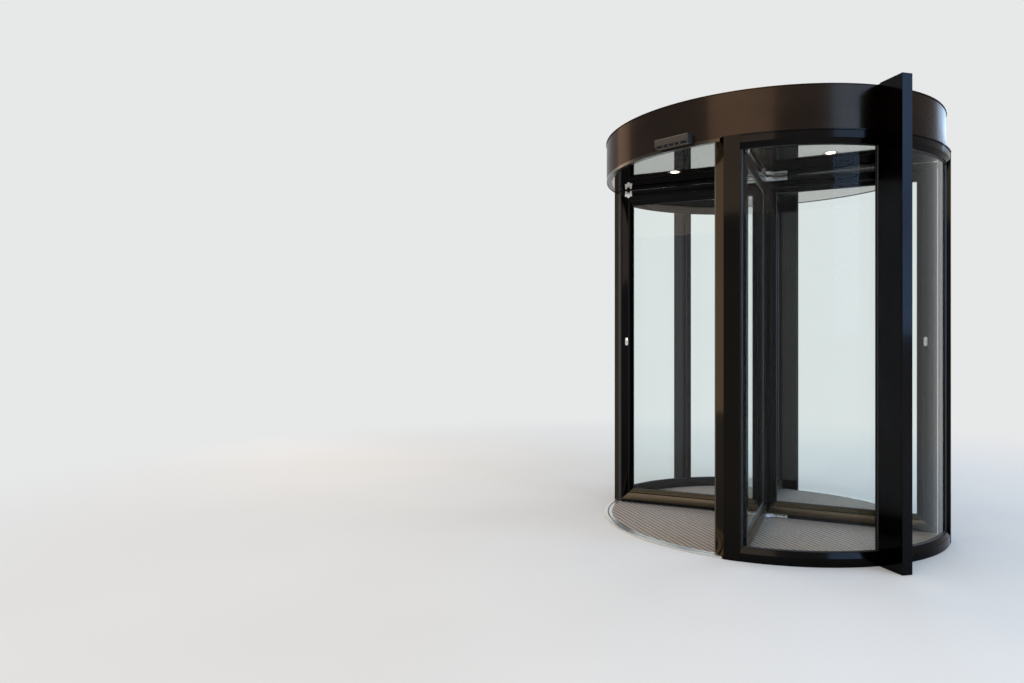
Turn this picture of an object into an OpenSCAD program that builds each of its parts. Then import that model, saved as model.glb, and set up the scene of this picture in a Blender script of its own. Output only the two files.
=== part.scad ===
// Revolving door with four glazed wings in a round glazed drum, set half way
// through a facade. Millimetres. The origin is the centre of the drum on the
// finished floor, +Z is up, -Y is the lobby and +Y is the street.

/* [Drum] */
// Outer radius of the curved wall rails
wall_r = 1060; // [900:5:1500]
// Radial depth of the wall rails and posts
rail_depth = 60; // [50:1:80]
// Height of the underside of the head rails
passage_h = 2200; // [2050:10:2500]
// Height of the canopy above the head rails
canopy_h = 242; // [200:2:500]
// Half of the angle that each entrance takes up
entrance_half = 45; // [40:0.5:46]
// Play left between two pieces that meet
fit_gap = 0.3; // [0.1:0.1:0.6]

/* [Curved walls] */
// Height of the base rail
base_rail_h = 73; // [60:1:110]
// Height of the head rail
head_rail_h = 73; // [60:1:100]
// Height of the sloped glazing bead on the rails
wall_bead_h = 28; // [20:1:30]
// Thickness of each sloped bead where it meets the glass groove
wall_bead_lip = 10; // [6:1:14]
// Thickness of the laminated curved glass
wall_glass_t = 12; // [10:1:14]
// How deep the glass edge sits in its groove
glass_bite = 12; // [8:1:16]
// How far the drip ledge stands out of the head rail
ledge_out = 5; // [2:1:12]
// Height of the drip ledge
ledge_h = 7; // [4:1:12]

/* [Posts] */
// Width of the outer face of an entrance post
post_face_w = 86; // [60:1:120]
// How far an entrance post stands outside the curved rails
post_proud = 2; // [1:1:6]
// Thickness of the rubber finger guard on a post's nose
guard_t = 12; // [8:1:16]
// Width of the facade post along the facade
facade_post_w = 150; // [80:1:240]
// Depth of the facade post across the facade
facade_post_d = 60; // [50:1:120]
// Width of the mullion between two curved panes
mullion_w = 34; // [30:1:50]

/* [Canopy] */
// How far the fascia stands back from the face of the curved rails
fascia_set = 24; // [12:1:32]
// Thickness of the fascia and roof sheet
sheet_t = 4; // [2:0.5:6]
// Width of the lips folded inwards on the fascia
fold_w = 22; // [12:1:30]
// Thickness of the ceiling panel
ceiling_t = 16; // [6:1:18]
// How far the trim over each entrance hangs below the ceiling
entrance_trim_drop = 2; // [2:1:14]
// How far the roof sheet overhangs the fascia
roof_overhang = 4; // [2:1:12]
// Radius of the circle on which the downlights sit
downlight_circle = 650; // [400:5:800]
// Outer radius of a downlight's bezel
downlight_r = 42; // [30:1:60]
// Length of the presence sensor
sensor_l = 216; // [140:4:260]
// Height of the presence sensor
sensor_h = 54; // [50:1:60]
// How far the sensor stands out of the fascia
sensor_d = 48; // [30:1:60]
// Height of the sensor's upright front above its sloped window
sensor_front_h = 38; // [36:1:44]
// How far the sensor hangs below the fascia
sensor_drop = 6; // [0:1:8]
// Direction of the lobby sensor seen from the axis, in degrees
sensor_angle = 299; // [285:0.5:304]

/* [Floor] */
// Thickness of the entrance mat
mat_t = 10; // [8:1:14]
// Width of one rib of the mat with its groove
rib_pitch = 32; // [16:1:40]
// Width of the groove between ribs
groove_w = 9; // [4:0.5:10]
// Depth of the groove between ribs
groove_d = 3; // [1:0.5:5]
// Width of the metal trim in each entrance
mat_trim_w = 50; // [30:1:60]

/* [Wings] */
// Angle of the wings past the posts at rest, in degrees
rest_angle = 4.5; // [4:0.5:40]
// Clearance between a wing's seal and the curved wall
wall_clear = 8; // [5:0.5:20]
// Clearance between a wing's seal and the mat
mat_clear = 6; // [5:0.5:12]
// Clearance between a wing's seal and the ceiling
ceiling_clear = 8; // [5:0.5:16]
// Thickness of a wing frame
wing_t = 50; // [40:1:60]
// Width of the outer stile
outer_stile_w = 85; // [60:1:120]
// Width of the inner stile
inner_stile_w = 48; // [44:1:80]
// Height of the top and bottom rails
wing_rail_h = 80; // [64:1:140]
// Width of the sloped glazing bead round a wing's glass
wing_bead_w = 29; // [16:1:32]
// Width and depth of the groove between the bead and the frame's face
bead_groove = 3; // [1:0.5:5]
// Thickness of the wing's edge at the glass
wing_lip_t = 26; // [20:1:32]
// Thickness of the wing glass
wing_glass_t = 10; // [8:1:12]
// Width of the rubber strip outside the outer stile
side_seal_w = 17; // [10:1:25]
// Height of the brush below a wing
bottom_brush_h = 20; // [12:1:30]
// Height of the brush above a wing
top_brush_h = 22; // [12:1:40]
// Thickness of the brushes and strips
seal_t = 12; // [8:1:20]

/* [Shaft] */
// Radius of the centre shaft
shaft_r = 30; // [24:1:34]
// Radius of the pivot pin under the shaft
pin_r = 12; // [8:1:16]
// Radial running clearance of shaft and pin in their bearings
run_gap = 0.06; // [0.02:0.01:0.1]
// Radius of the floor bearing plate
floor_bearing_r = 72; // [50:1:90]
// Length of the arms that carry the wings, from the axis
arm_l = 146; // [110:1:200]
// Width of these arms
arm_w = 42; // [30:1:48]
// Wall of the top bearing's housing round the shaft
bearing_wall = 60; // [30:1:70]
// Height of the beam in the canopy
beam_h = 120; // [80:5:180]
// Width of the beam in the canopy
beam_w = 220; // [210:5:300]

/* [Hardware] */
// Height of the wing lock above the floor
lock_z = 1170; // [900:10:1300]
// Width of the lock's escutcheon
lock_w = 22; // [16:1:30]
// Height of the lock's escutcheon
lock_h = 58; // [40:1:80]
// Thickness of the lock's escutcheon and of the catch's plate
plate_t = 5; // [3:0.5:8]
// How far the lock's cylinder stands out of its escutcheon
lock_nose = 4; // [2:0.5:8]
// Width of the catch's plate
catch_w = 54; // [30:1:60]
// Height of the catch's plate
catch_h = 34; // [24:1:40]
// How far the catch's plate stands above the wing frame
catch_rise = 18; // [6:1:18]
// Distance of the catch from the wing's outer edge
catch_in = 56; // [34:1:60]
// Distance of the lock from the wing's outer edge
lock_in = 42; // [26:1:50]

/* [Hidden] */
$fn = 360;
overall_h = passage_h + head_rail_h + canopy_h;
fascia_r = wall_r - fascia_set;
wall_in = wall_r - rail_depth;
glass_mid = wall_r - rail_depth / 2;
post_r = wall_r + post_proud;
rail_top = passage_h + head_rail_h;
ceiling_z = rail_top - ceiling_t;
post_y = post_r * sin(entrance_half);
post_nose_x = sqrt(pow(wall_in, 2) - pow(post_y, 2));
face_end = 90 - entrance_half - arc_deg(post_face_w, post_r);
bearing_bore = shaft_r + run_gap;
bearing_r = shaft_r + bearing_wall;
bore_play = 6;
ceiling_bore = shaft_r + bore_play;
hub_set = 10;
hub_r = floor_bearing_r - hub_set;
half_seam = arc_deg(fit_gap, fascia_r);
entrance_over = 25;
entrance_from = 270 - entrance_half - entrance_over;
entrance_to = 270 + entrance_half + entrance_over;
trim_line_share = 0.4;
light_rim = 6;
trim_lip = 6;
bezel_t = 3;
guard_blunt = 2;
sensor_round = 4;
roof_seam_w = 3;
lock_rim = 6;
lug_share = 0.32;
lug_rise = 2;
mat_r = wall_in - fit_gap;
mat_hole_r = floor_bearing_r + fit_gap;
fascia_in = fascia_r - sheet_t;
trim_z = ceiling_z - entrance_trim_drop;
wing_r = wall_in - wall_clear - side_seal_w;
wing_in = shaft_r + fit_gap;
wing_z = mat_t + mat_clear + bottom_brush_h;
wing_top = ceiling_z - ceiling_clear - top_brush_h;
seal_z = wing_z - bottom_brush_h;
seal_top = wing_top + top_brush_h;
seal_tip = wing_r + side_seal_w;
pin_foot = 2;
shaft_over = 8;
shaft_top = rail_top + beam_h + shaft_over;
far = 3 * wall_r;
bronze = [0.07, 0.06, 0.055];
steel = [0.8, 0.8, 0.82];
glazing = [0.7, 0.85, 0.82, 0.35];
rubber = [0.05, 0.05, 0.05];

// The angle that a length takes up on a circle
function arc_deg(l, r) = l / r * 180 / PI;
function wing_angle(i) = 180 + entrance_half + rest_angle + 90 * (i - 1);

// A ring sector from angle a to angle b, with its radial section as child
module sector(a, b) {
    rotate([0, 0, a]) rotate_extrude(angle = b - a) children();
}

// A ring sector of rectangular section
module band(a, b, r0, r1, z0, z1) {
    sector(a, b) translate([r0, z0]) square([r1 - r0, z1 - z0]);
}

// Everything on the facade's side of the lobby posts' slanted noses
module behind_post_noses() {
    translate([-far / 2, -post_y - fit_gap, -1]) cube([far, far, far]);
}

// Floor

module entrance_mat() {
    first = -floor((mat_r - groove_w) / rib_pitch);
    color([0.36, 0.32, 0.3]) difference() {
        cylinder(r = mat_r, h = mat_t);
        translate([0, 0, -1]) cylinder(r = mat_hole_r, h = mat_t + 2);
        for (i = [first : -first])
            translate([-far / 2, i * rib_pitch - groove_w / 2, mat_t - groove_d])
                cube([far, groove_w, groove_d + 1]);
    }
}

// The metal strip that closes the mat in each entrance
module mat_trim() {
    edge = mat_trim_w * trim_line_share;
    color(steel) for (turn = [0, 180]) rotate([0, 0, turn])
        difference() {
            band(entrance_from, entrance_to, wall_in, wall_in + mat_trim_w, 0, mat_t);
            band(entrance_from - 1, entrance_to + 1, wall_in + edge,
                wall_in + mat_trim_w - edge, mat_t - groove_d, mat_t + 1);
            behind_post_noses();
        }
}

module floor_bearing() {
    color(steel) difference() {
        cylinder(r = floor_bearing_r, h = mat_t);
        translate([0, 0, pin_foot]) cylinder(r = pin_r + run_gap, h = mat_t);
    }
}

// Curved walls

module base_rail() {
    lip = wall_glass_t / 2 + fit_gap + wall_bead_lip;
    mid = rail_depth / 2;
    sector(-face_end, face_end) translate([wall_in, 0]) difference() {
        polygon([[0, 0], [rail_depth, 0], [rail_depth, base_rail_h - wall_bead_h],
            [mid + lip, base_rail_h], [mid - lip, base_rail_h],
            [0, base_rail_h - wall_bead_h]]);
        translate([mid - wall_glass_t / 2 - fit_gap, base_rail_h - glass_bite - fit_gap])
            square([wall_glass_t + 2 * fit_gap, far]);
    }
}

module head_rail() {
    lip = wall_glass_t / 2 + fit_gap + wall_bead_lip;
    mid = rail_depth / 2;
    sector(-face_end, face_end) translate([wall_in, passage_h]) difference() {
        polygon([[mid - lip, 0], [mid + lip, 0], [rail_depth, wall_bead_h],
            [rail_depth, head_rail_h - ledge_h],
            [rail_depth + ledge_out, head_rail_h - ledge_h],
            [rail_depth + ledge_out, head_rail_h], [0, head_rail_h], [0, wall_bead_h]]);
        translate([mid - wall_glass_t / 2 - fit_gap, -1])
            square([wall_glass_t + 2 * fit_gap, glass_bite + fit_gap + 1]);
    }
}

module right_base_rail() { color(bronze) base_rail(); }
module left_base_rail() { color(bronze) rotate([0, 0, 180]) base_rail(); }
module right_head_rail() { color(bronze) head_rail(); }
module left_head_rail() { color(bronze) rotate([0, 0, 180]) head_rail(); }

// One curved pane, from the mullion at the facade to an entrance post
module curved_pane() {
    start = arc_deg(mullion_w / 2 - glass_bite, glass_mid);
    end = face_end + arc_deg(glass_bite, glass_mid);
    color(glazing)
        band(start, end, glass_mid - wall_glass_t / 2, glass_mid + wall_glass_t / 2,
            base_rail_h - glass_bite, passage_h + glass_bite);
}

module street_right_glass() { curved_pane(); }
module lobby_right_glass() { mirror([0, 1, 0]) curved_pane(); }
module street_left_glass() { mirror([1, 0, 0]) curved_pane(); }
module lobby_left_glass() { rotate([0, 0, 180]) curved_pane(); }

// Posts

// An entrance post. Its nose is cut parallel to the facade, so that the outer
// corner lies at the edge of the entrance and the inner edge guards the wings.
module entrance_post() {
    bite = arc_deg(glass_bite + fit_gap, glass_mid);
    tip_x = post_nose_x + guard_t;
    difference() {
        band(face_end + arc_deg(fit_gap, glass_mid), 90, wall_in, post_r, 0, rail_top);
        translate([-far / 2, post_y, -1]) cube([far, far, rail_top + 2]);
        translate([tip_x - far, -far / 2, -1]) cube([far, far, rail_top + 2]);
        band(face_end - 1, face_end + bite, glass_mid - wall_glass_t / 2 - fit_gap,
            glass_mid + wall_glass_t / 2 + fit_gap, base_rail_h - glass_bite - fit_gap,
            passage_h + glass_bite + fit_gap);
    }
}

module street_right_post() { color(bronze) entrance_post(); }
module lobby_right_post() { color(bronze) mirror([0, 1, 0]) entrance_post(); }
module street_left_post() { color(bronze) mirror([1, 0, 0]) entrance_post(); }
module lobby_left_post() { color(bronze) rotate([0, 0, 180]) entrance_post(); }

// Rubber strips on the thin edges of the post noses
module finger_guards() {
    x1 = post_nose_x + guard_t - fit_gap;
    y1 = sqrt(pow(wall_in, 2) - pow(x1, 2));
    color(rubber) for (mx = [0, 1], my = [0, 1]) mirror([mx, 0, 0]) mirror([0, my, 0])
        translate([0, 0, mat_t + fit_gap]) linear_extrude(trim_z - mat_t - 2 * fit_gap)
            polygon([[post_nose_x, post_y - guard_blunt], [x1, y1], [x1, post_y],
                [post_nose_x, post_y]]);
}

// A facade post with the mullion that holds the edges of two curved panes
module facade_post() {
    x0 = wall_r + ledge_out + fit_gap;
    groove = glass_bite + fit_gap;
    difference() {
        union() {
            translate([x0, -facade_post_d / 2, 0]) cube([facade_post_w, facade_post_d, overall_h]);
            translate([glass_mid - wall_glass_t / 2 - wall_bead_lip, -mullion_w / 2,
                base_rail_h + fit_gap])
                cube([x0 - glass_mid + wall_glass_t / 2 + wall_bead_lip + 1, mullion_w,
                    passage_h - base_rail_h - 2 * fit_gap]);
            translate([fascia_r + fit_gap, -facade_post_d / 2, rail_top + fit_gap])
                cube([x0 - fascia_r, facade_post_d, overall_h - rail_top - sheet_t - 2 * fit_gap]);
        }
        for (m = [0, 1]) mirror([0, m, 0])
            translate([glass_mid - wall_glass_t / 2 - 2 * fit_gap, mullion_w / 2 - groove, 0])
                cube([wall_glass_t + 3 * fit_gap, groove + 1, passage_h + glass_bite]);
        translate([0, 0, overall_h - sheet_t - fit_gap])
            cylinder(r = fascia_r + roof_overhang + fit_gap, h = far);
    }
}

module right_facade_post() { color(bronze) facade_post(); }
module left_facade_post() { color(bronze) mirror([1, 0, 0]) facade_post(); }

// Canopy

module ceiling_panel() {
    color([0.05, 0.045, 0.04]) difference() {
        translate([0, 0, ceiling_z]) cylinder(r = wall_in - fit_gap, h = ceiling_t);
        translate([0, 0, ceiling_z - 1]) cylinder(r = ceiling_bore, h = ceiling_t + 2);
        for (i = [0 : 3]) rotate([0, 0, 90 * i]) translate([downlight_circle, 0, ceiling_z - 1])
            cylinder(r = downlight_r - light_rim, h = ceiling_t + 2);
    }
}

// The soffit strip with its hanging lip over each entrance
module entrance_trims() {
    color([0.3, 0.28, 0.26]) for (turn = [0, 180]) rotate([0, 0, turn]) difference() {
        union() {
            band(entrance_from, entrance_to, wall_in, fascia_r, ceiling_z, rail_top);
            band(entrance_from, entrance_to, fascia_r - trim_lip, fascia_r, trim_z, rail_top);
        }
        behind_post_noses();
    }
}

module downlights() {
    color(steel) for (i = [0 : 3]) rotate([0, 0, 90 * i])
        translate([downlight_circle, 0, ceiling_z]) difference() {
            union() {
                translate([0, 0, -bezel_t]) cylinder(r = downlight_r, h = bezel_t);
                cylinder(r = downlight_r - light_rim - fit_gap, h = ceiling_t - fit_gap);
            }
            translate([0, 0, -bezel_t - 1]) cylinder(r = downlight_r - 2 * light_rim,
                h = ceiling_t);
        }
}

module half_fascia() {
    z0 = rail_top + fit_gap;
    z1 = overall_h - sheet_t - fit_gap;
    sector(180 + half_seam, 360 - half_seam) difference() {
        translate([fascia_r - fold_w, z0]) square([fold_w, z1 - z0]);
        translate([0, z0 + sheet_t]) square([fascia_in, z1 - z0 - 2 * sheet_t]);
    }
}

module lobby_fascia() { color(bronze) half_fascia(); }
module street_fascia() { color(bronze) rotate([0, 0, 180]) half_fascia(); }

// The roof sheet, with the sunk seam between its two halves
module canopy_roof() {
    color(bronze) difference() {
        translate([0, 0, overall_h - sheet_t]) cylinder(r = fascia_r + roof_overhang, h = sheet_t);
        translate([-far / 2, -roof_seam_w / 2, overall_h - sheet_t / 2])
            cube([far, roof_seam_w, sheet_t]);
    }
}

// The beam that carries the top bearing, resting on the head rails
module canopy_beam() {
    color([0.45, 0.46, 0.48]) difference() {
        intersection() {
            translate([-far / 2, -beam_w / 2, rail_top]) cube([far, beam_w, beam_h]);
            cylinder(r = fascia_r - fold_w - fit_gap, h = far);
        }
        cylinder(r = bearing_r + fit_gap, h = far);
    }
}

module top_bearing() {
    color(steel) translate([0, 0, rail_top]) difference() {
        cylinder(r = bearing_r, h = beam_h);
        translate([0, 0, -1]) cylinder(r = bearing_bore, h = beam_h + 2);
    }
}

// Two presence sensors, one over each entrance. Each follows the fascia at its
// back, and its window slopes down towards the people who come in.
module presence_sensors() {
    back = fascia_r * (1 - cos(arc_deg(sensor_l / 2, fascia_r))) + 1;
    slope = sensor_h - sensor_front_h;
    color([0.09, 0.085, 0.08]) for (turn = [0, 180]) rotate([0, 0, sensor_angle + turn])
        difference() {
            translate([fascia_r, sensor_l / 2, rail_top - sensor_drop]) rotate([90, 0, 0])
                linear_extrude(sensor_l)
                    polygon([[-back, 0], [sensor_d - slope, 0], [sensor_d, slope],
                        [sensor_d, sensor_h - sensor_round], [sensor_d - sensor_round, sensor_h],
                        [-back, sensor_h]]);
            cylinder(r = fascia_r + fit_gap, h = far);
        }
}

// Rotor

module centre_shaft() {
    color(bronze) union() {
        translate([0, 0, seal_z]) cylinder(r = shaft_r, h = shaft_top - seal_z);
        translate([0, 0, pin_foot + fit_gap]) cylinder(r = pin_r, h = seal_z - pin_foot);
    }
}

// The four-armed steel carrier that clamps the wings to the shaft
module carrier(z, h) {
    translate([0, 0, z]) difference() {
        union() {
            cylinder(r = hub_r, h = h);
            for (i = [1 : 4]) rotate([0, 0, wing_angle(i)])
                translate([0, -arm_w / 2, 0]) cube([arm_l, arm_w, h]);
        }
        translate([0, 0, -1]) cylinder(r = shaft_r + fit_gap / 2, h = h + 2);
    }
}

module bottom_carrier() { color(steel) carrier(seal_z, bottom_brush_h); }
module top_carrier() { color(steel) carrier(wing_top, top_brush_h); }

// One bar of the sloped bead: from (0, 0) to (l, 0), growing by w towards +Z
module bead_bar(l, w) {
    intersection() {
        rotate([90, 0, 90]) linear_extrude(l)
            polygon([[-wing_t / 2, 0], [wing_t / 2, 0], [wing_lip_t / 2, w], [-wing_lip_t / 2, w]]);
        rotate([90, 0, 0]) translate([0, 0, -wing_t]) linear_extrude(2 * wing_t)
            polygon([[0, 0], [l, 0], [l - w, w], [w, w]]);
    }
}

// A wing's frame: stiles and rails with a mitred, sloped glazing bead round the
// glass on both faces, and a shadow groove where the bead snaps in
module wing_frame(i) {
    h = wing_top - wing_z;
    l = wing_r - wing_in;
    bw = wing_bead_w;
    x0 = wing_in + inner_stile_w - bw;
    x1 = wing_r - outer_stile_w + bw;
    z0 = wing_z + wing_rail_h - bw;
    z1 = wing_top - wing_rail_h + bw;
    groove = wing_glass_t + 2 * fit_gap;
    bite = glass_bite + fit_gap;
    g = bead_groove;
    color(bronze) rotate([0, 0, wing_angle(i)]) difference() {
        union() {
            difference() {
                translate([wing_in, -wing_t / 2, wing_z]) cube([l, wing_t, h]);
                translate([x0, -wing_t, z0]) cube([x1 - x0, 2 * wing_t, z1 - z0]);
            }
            translate([x0, 0, z0]) bead_bar(x1 - x0, bw);
            translate([x1, 0, z1]) rotate([0, 180, 0]) bead_bar(x1 - x0, bw);
            translate([x1, 0, z0]) rotate([0, -90, 0]) bead_bar(z1 - z0, bw);
            translate([x0, 0, z1]) rotate([0, 90, 0]) bead_bar(z1 - z0, bw);
        }
        translate([x0 + bw - bite, -groove / 2, z0 + bw - bite])
            cube([x1 - x0 - 2 * bw + 2 * bite, groove, z1 - z0 - 2 * bw + 2 * bite]);
        for (side = [-1, 1]) translate([x0, side * wing_t / 2, z0]) difference() {
            translate([-g, -g, -g]) cube([x1 - x0 + 2 * g, 2 * g, z1 - z0 + 2 * g]);
            translate([0, -2 * g, 0]) cube([x1 - x0, 4 * g, z1 - z0]);
        }
    }
}

module wing_1_frame() { wing_frame(1); }
module wing_2_frame() { wing_frame(2); }
module wing_3_frame() { wing_frame(3); }
module wing_4_frame() { wing_frame(4); }

module wing_glass(i) {
    x0 = wing_in + inner_stile_w - glass_bite;
    x1 = wing_r - outer_stile_w + glass_bite;
    z0 = wing_z + wing_rail_h - glass_bite;
    z1 = wing_top - wing_rail_h + glass_bite;
    color(glazing) rotate([0, 0, wing_angle(i)])
        translate([x0, -wing_glass_t / 2, z0]) cube([x1 - x0, wing_glass_t, z1 - z0]);
}

module wing_1_glass() { wing_glass(1); }
module wing_2_glass() { wing_glass(2); }
module wing_3_glass() { wing_glass(3); }
module wing_4_glass() { wing_glass(4); }

// Brushes above and below a wing and the rubber strip on its outer edge, in one
// loop that starts at the carriers' arms
module wing_seals(i) {
    x0 = arm_l + fit_gap;
    color(rubber) rotate([0, 0, wing_angle(i)]) difference() {
        translate([x0, -seal_t / 2, seal_z]) cube([seal_tip - x0, seal_t, seal_top - seal_z]);
        translate([0, -seal_t, wing_z - fit_gap])
            cube([wing_r + fit_gap, 2 * seal_t, wing_top - wing_z + 2 * fit_gap]);
    }
}

module wing_1_seals() { wing_seals(1); }
module wing_2_seals() { wing_seals(2); }
module wing_3_seals() { wing_seals(3); }
module wing_4_seals() { wing_seals(4); }

// Lock escutcheons on both faces of two opposite wings
module wing_locks() {
    cylinder_d = lock_w - lock_rim;
    color(steel) for (i = [1, 3], s = [0, 1]) rotate([0, 0, wing_angle(i)]) mirror([0, s, 0])
        translate([wing_r - lock_in, wing_t / 2 + fit_gap, lock_z]) rotate([-90, 0, 0])
            union() {
                linear_extrude(plate_t) union() {
                    for (e = [-1, 1]) translate([0, e * (lock_h - lock_w) / 2])
                        circle(d = lock_w);
                    square([lock_w, lock_h - lock_w], center = true);
                }
                cylinder(d = cylinder_d, h = plate_t + lock_nose);
            }
}

// The catch at the top outer corner of each wing: a plate with two lugs, a
// rounded tail and the knob that lets the wing go from its carrier
module wing_catches() {
    lug_r = catch_w / 8;
    lug_x = catch_w * lug_share;
    lug_pin_r = lug_r * 0.7;
    tail_r = catch_w / 5;
    knob_r = catch_h * 0.3;
    color(steel) for (i = [1 : 4]) rotate([0, 0, wing_angle(i)])
        translate([wing_r - catch_in, wing_t / 2 + fit_gap, wing_top + catch_rise - catch_h])
            rotate([-90, 0, 0]) mirror([0, 1, 0]) union() {
                linear_extrude(plate_t) union() {
                    translate([-catch_w / 2, 0]) square([catch_w, catch_h]);
                    circle(r = tail_r);
                    for (x = [-1, 1]) translate([x * lug_x, catch_h]) circle(r = lug_r);
                }
                for (x = [-1, 1]) translate([x * lug_x, catch_h])
                    cylinder(r = lug_pin_r, h = plate_t + lug_rise);
                translate([0, catch_h / 2]) cylinder(r = knob_r, h = plate_t + lock_nose);
            }
}

entrance_mat();
mat_trim();
floor_bearing();
right_base_rail();
left_base_rail();
right_head_rail();
left_head_rail();
lobby_right_glass();
street_right_glass();
street_left_glass();
lobby_left_glass();
lobby_right_post();
street_right_post();
street_left_post();
lobby_left_post();
right_facade_post();
left_facade_post();
finger_guards();
ceiling_panel();
entrance_trims();
downlights();
lobby_fascia();
street_fascia();
canopy_roof();
canopy_beam();
top_bearing();
presence_sensors();
centre_shaft();
bottom_carrier();
top_carrier();
wing_1_frame();
wing_2_frame();
wing_3_frame();
wing_4_frame();
wing_1_glass();
wing_2_glass();
wing_3_glass();
wing_4_glass();
wing_1_seals();
wing_2_seals();
wing_3_seals();
wing_4_seals();
wing_locks();
wing_catches();
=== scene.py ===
"""A four-wing revolving door in a round glazed drum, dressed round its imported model.

The sections follow the door as it is put together: the floor, the curved walls, the
posts, the canopy and then the rotor with its wings. Metres, +Z up, lobby at -Y.
"""

import math
import random

import bmesh
import bpy
from mathutils import Matrix, Vector


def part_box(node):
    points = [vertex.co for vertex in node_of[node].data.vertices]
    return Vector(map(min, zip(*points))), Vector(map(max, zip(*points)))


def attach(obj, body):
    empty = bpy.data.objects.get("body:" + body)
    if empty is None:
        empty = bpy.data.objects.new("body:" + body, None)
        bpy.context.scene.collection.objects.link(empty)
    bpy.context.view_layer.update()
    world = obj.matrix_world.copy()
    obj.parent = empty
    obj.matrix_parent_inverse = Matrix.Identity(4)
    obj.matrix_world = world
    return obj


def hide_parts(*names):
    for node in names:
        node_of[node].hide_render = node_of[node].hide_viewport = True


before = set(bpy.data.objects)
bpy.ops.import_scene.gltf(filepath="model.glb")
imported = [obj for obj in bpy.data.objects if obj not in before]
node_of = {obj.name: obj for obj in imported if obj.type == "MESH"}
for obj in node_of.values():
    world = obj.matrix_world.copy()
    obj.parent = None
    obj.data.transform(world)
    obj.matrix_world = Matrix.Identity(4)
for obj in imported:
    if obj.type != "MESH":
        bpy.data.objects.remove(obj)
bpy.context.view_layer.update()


# The view
# From the lobby, to the right of the entrance, at the height of a seated person's
# head. The horizon lies on the middle of the picture, so upright lines stay upright.

eye = Vector((4.18, -2.81, 1.17))
gaze = Vector((-0.968, 0.250, 0.0))
lens_mm = 25.1

view = bpy.data.cameras.new("view")
view.lens = lens_mm
view.sensor_width = 36
view_object = bpy.data.objects.new("view", view)
view_object.location = eye
view_object.rotation_euler = gaze.to_track_quat("-Z", "Y").to_euler()
bpy.context.scene.collection.objects.link(view_object)
bpy.context.scene.camera = view_object
bpy.context.scene.view_settings.view_transform = "Standard"


# Entrance mat, base
# A round sheet of black rubber that lies in the drum. The pile strips are bonded on
# it, and their grooves let the dirt fall through to the rubber.


def start_finish(name, metallic, roughness):
    """A new material, its node tree and its shader."""
    material = bpy.data.materials.new(name)
    material.use_nodes = True
    tree = material.node_tree
    shader = tree.nodes["Principled BSDF"]
    shader.inputs["Metallic"].default_value = metallic
    shader.inputs["Roughness"].default_value = roughness
    return material, tree, shader


def cloud(tree, scale, detail=3.0, stretch=(1, 1, 1)):
    """A soft noise over the piece, in its own coordinates."""
    place = tree.nodes.new("ShaderNodeTexCoord")
    mapping = tree.nodes.new("ShaderNodeMapping")
    mapping.inputs["Scale"].default_value = stretch
    noise = tree.nodes.new("ShaderNodeTexNoise")
    noise.inputs["Scale"].default_value = scale
    noise.inputs["Detail"].default_value = detail
    tree.links.new(place.outputs["Object"], mapping.inputs["Vector"])
    tree.links.new(mapping.outputs["Vector"], noise.inputs["Vector"])
    return noise.outputs["Fac"]


noise_low, noise_high = 0.3, 0.7  # a soft noise keeps mostly between these


def tinted(tree, shader, factor, dark, light, low=noise_low, high=noise_high):
    """The shader's colour goes from dark at low to light at high of a factor."""
    ramp = tree.nodes.new("ShaderNodeValToRGB")
    ramp.color_ramp.elements[0].position = low
    ramp.color_ramp.elements[0].color = (*dark, 1)
    ramp.color_ramp.elements[1].position = high
    ramp.color_ramp.elements[1].color = (*light, 1)
    tree.links.new(factor, ramp.inputs["Fac"])
    tree.links.new(ramp.outputs["Color"], shader.inputs["Base Color"])


def uneven_gloss(tree, shader, factor, low, high):
    """The roughness runs from low to high with a factor."""
    spread = tree.nodes.new("ShaderNodeMapRange")
    spread.inputs["From Min"].default_value = noise_low
    spread.inputs["From Max"].default_value = noise_high
    spread.inputs["To Min"].default_value = low
    spread.inputs["To Max"].default_value = high
    tree.links.new(factor, spread.inputs["Value"])
    tree.links.new(spread.outputs["Result"], shader.inputs["Roughness"])


def raised(tree, shader, factor, depth, strength=1.0):
    """A bump of that depth, in metres."""
    bump = tree.nodes.new("ShaderNodeBump")
    bump.inputs["Distance"].default_value = depth
    bump.inputs["Strength"].default_value = strength
    tree.links.new(factor, bump.inputs["Height"])
    tree.links.new(bump.outputs["Normal"], shader.inputs["Normal"])


def black_rubber(name, shade=0.012, roughness=0.62, shine=0.5):
    """Matt moulded rubber with a fine grain and a little grey bloom."""
    material, tree, shader = start_finish(name, 0.0, roughness)
    shader.inputs["Specular IOR Level"].default_value = shine
    tinted(tree, shader, cloud(tree, 9, 4), (shade,) * 3, (shade * 2.1,) * 3, 0.35, 0.65)
    raised(tree, shader, cloud(tree, 900, 2), 0.0002, 0.5)
    return material


def loft(rings, closed=False):
    """A shell through rings of points. Open ends get flat caps."""
    count, size = len(rings), len(rings[0])
    points = [point for ring in rings for point in ring]
    faces = []
    for i in range(count if closed else count - 1):
        a, b = i * size, (i + 1) % count * size
        for k in range(size):
            m = (k + 1) % size
            faces.append([a + k, a + m, b + m, b + k])
    if not closed:
        faces.append(list(range(size)))
        faces.append([(count - 1) * size + k for k in range(size)])
    return points, faces


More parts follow.
